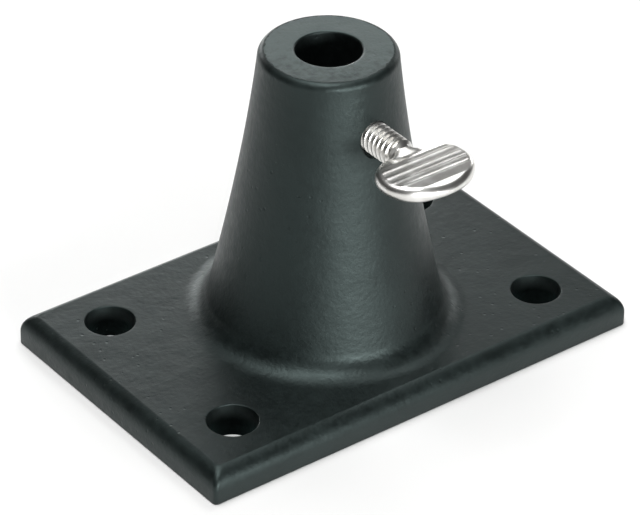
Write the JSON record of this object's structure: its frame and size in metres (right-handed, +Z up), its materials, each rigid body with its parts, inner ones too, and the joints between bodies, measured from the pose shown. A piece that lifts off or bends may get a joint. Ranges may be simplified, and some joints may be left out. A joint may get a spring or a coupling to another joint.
{
  "type": "socket base for a slim post",
  "caption": "Cast base with a rectangular drilled plate and a tapered socket for a slim post, locked by a thumb screw through the socket's wall.",
  "frame": {"origin": "middle of the plate's underside, on the socket's axis", "axes": "+X along the plate's long side, +Z up along the socket's axis, the thumb screw's grip towards -Y"},
  "size_m": [0.1016, 0.0712, 0.066],
  "materials": {
    "black_paint": "satin black baked paint over a cast surface",
    "bright_plate": "bright nickel plate"
  },
  "bodies": {
    "base": {"base_casting": "black_paint"},
    "screw_travel": {"screw_point": "bright_plate"},
    "screw_turn": {"thumb_screw": "bright_plate"}
  },
  "joints": [
    {"name": "thumb_screw_travel", "type": "slide", "parent": "base", "child": "screw_travel", "axis": [0, 1, 0], "range_m": [-0.00318, 0.00668]},
    {"name": "thumb_screw_turn", "type": "hinge", "parent": "screw_travel", "child": "screw_turn", "pos_m": [0, -0.0303, 0.0536], "axis": [0, 1, 0], "range_deg": [-900, 1890]}
  ],
  "couplings": [
    {"joint": "thumb_screw_travel", "follows": "thumb_screw_turn", "m_per_rad": 0.00020213}
  ]
}
